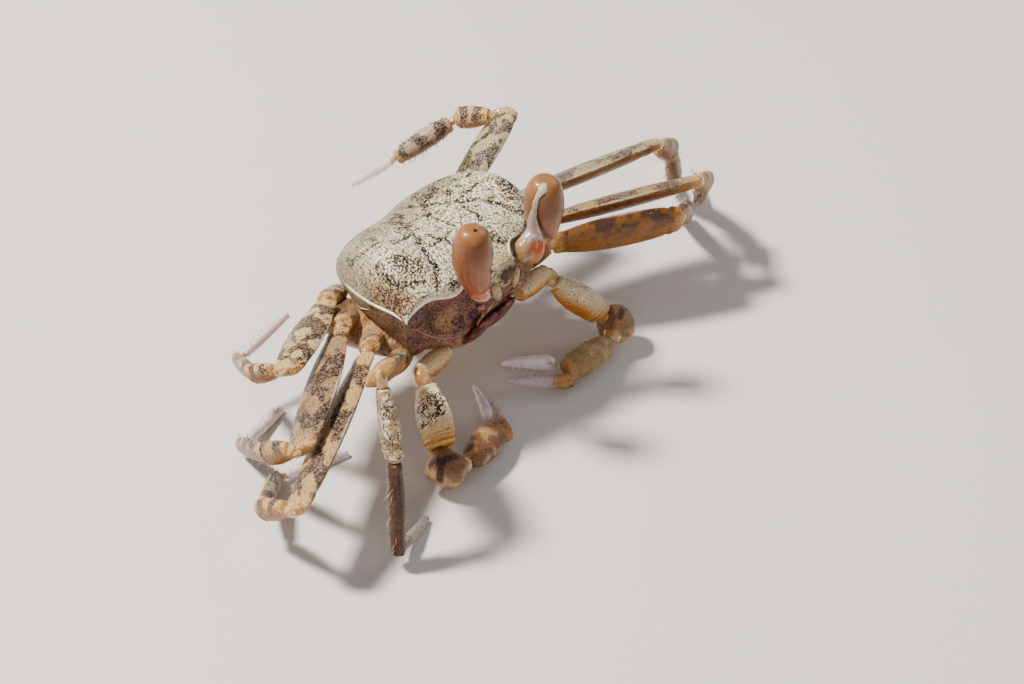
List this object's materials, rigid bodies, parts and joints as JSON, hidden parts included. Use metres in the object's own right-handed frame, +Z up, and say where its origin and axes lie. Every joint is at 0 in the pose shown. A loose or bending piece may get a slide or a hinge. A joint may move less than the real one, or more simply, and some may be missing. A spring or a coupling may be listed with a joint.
{
  "type": "juvenile ghost crab model",
  "caption": "Life-size still model of a young ghost crab with raised egg-shaped eyes, small claws and long flattened legs, standing on its toes.",
  "frame": {"origin": "floor level under the middle of the whole crab's bounding box", "axes": "+Z up, the crab faces -Y, its left side is +X"},
  "size_m": [0.0512, 0.024, 0.016],
  "materials": {
    "shell": "fine granular shell, sand cream with dark speckles",
    "underside": "smooth pale amber underside",
    "mouth": "purple brown mouth covers",
    "cornea": "wet glossy orange brown eye",
    "eyestalk": "pale glossy stalk",
    "leg": "cream leg with dark dotted bands",
    "toe": "translucent lilac white toe",
    "claw": "tan claw with dark marks"
  },
  "bodies": {
    "root": {"abdomen": "underside", "carapace": "shell", "left_claw_base": "claw", "left_claw_carpus": "claw", "left_claw_dactyl": "toe", "left_claw_merus": "claw", "left_claw_palm": "claw", "left_cornea": "cornea", "left_eyestalk": "eyestalk", "left_leg_2_base": "leg", "left_leg_2_carpus": "leg", "left_leg_2_dactyl": "toe", "left_leg_2_merus": "leg", "left_leg_2_propodus": "leg", "left_leg_3_base": "leg", "left_leg_3_carpus": "leg", "left_leg_3_dactyl": "toe", "left_leg_3_merus": "leg", "left_leg_3_propodus": "leg", "left_leg_4_base": "leg", "left_leg_4_carpus": "leg", "left_leg_4_dactyl": "toe", "left_leg_4_merus": "leg", "left_leg_4_propodus": "leg", "left_leg_5_base": "leg", "left_leg_5_carpus": "leg", "left_leg_5_dactyl": "toe", "left_leg_5_merus": "leg", "left_leg_5_propodus": "leg", "left_maxilliped": "mouth", "right_claw_base": "claw", "right_claw_carpus": "claw", "right_claw_dactyl": "toe", "right_claw_merus": "claw", "right_claw_palm": "claw", "right_cornea": "cornea", "right_eyestalk": "eyestalk", "right_leg_2_base": "leg", "right_leg_2_carpus": "leg", "right_leg_2_dactyl": "toe", "right_leg_2_merus": "leg", "right_leg_2_propodus": "leg", "right_leg_3_base": "leg", "right_leg_3_carpus": "leg", "right_leg_3_dactyl": "toe", "right_leg_3_merus": "leg", "right_leg_3_propodus": "leg", "right_leg_4_base": "leg", "right_leg_4_carpus": "leg", "right_leg_4_dactyl": "toe", "right_leg_4_merus": "leg", "right_leg_4_propodus": "leg", "right_leg_5_base": "leg", "right_leg_5_carpus": "leg", "right_leg_5_dactyl": "toe", "right_leg_5_merus": "leg", "right_leg_5_propodus": "leg", "right_maxilliped": "mouth", "thorax": "underside"}
  },
  "joints": []
}
